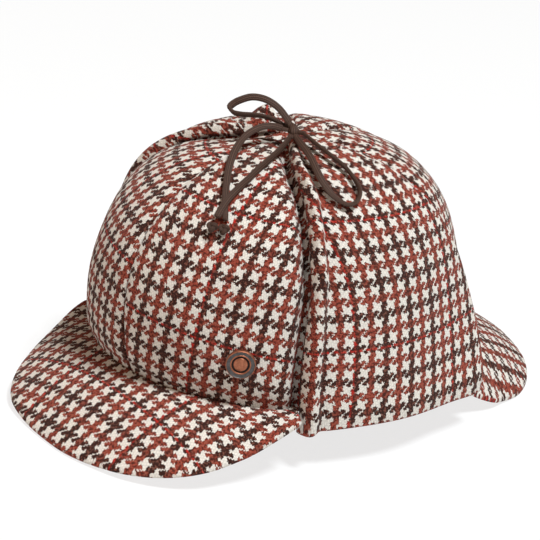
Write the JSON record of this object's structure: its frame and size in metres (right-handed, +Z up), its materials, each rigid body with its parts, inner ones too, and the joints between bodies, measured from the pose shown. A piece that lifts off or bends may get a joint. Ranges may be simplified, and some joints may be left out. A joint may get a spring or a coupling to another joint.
{
  "type": "deerstalker hat",
  "caption": "Tweed hat with a rounded crown of sewn panels, a brim in front and behind, and ear flaps tied up over the top with a lace.",
  "frame": {"origin": "bottom centre of the hat's bounding box, measured without the lace, at the level of the surface it rests on", "axes": "+Z up out of the crown, -Y towards the front brim, +X towards the wearer's left"},
  "size_m": [0.1786, 0.2939, 0.1528],
  "materials": {
    "tweed": "woven wool in a cream, rust and dark brown dogtooth check",
    "lace": "woven dark brown lace",
    "copper": "aged copper"
  },
  "bodies": {
    "root": {"crown_front_left": "tweed", "crown_side_left": "tweed", "crown_back_left": "tweed", "crown_back_right": "tweed", "crown_side_right": "tweed", "crown_front_right": "tweed", "brim_front": "tweed", "brim_back": "tweed", "ear_flap_left": "tweed", "ear_flap_right": "tweed", "side_badge": "copper", "tie_knot": "lace", "tie_loop_back": "lace", "tie_loop_front": "lace", "tie_tail_long": "lace", "tie_tail_short": "lace", "tie_end_long": "lace", "tie_end_short": "lace"}
  },
  "joints": []
}
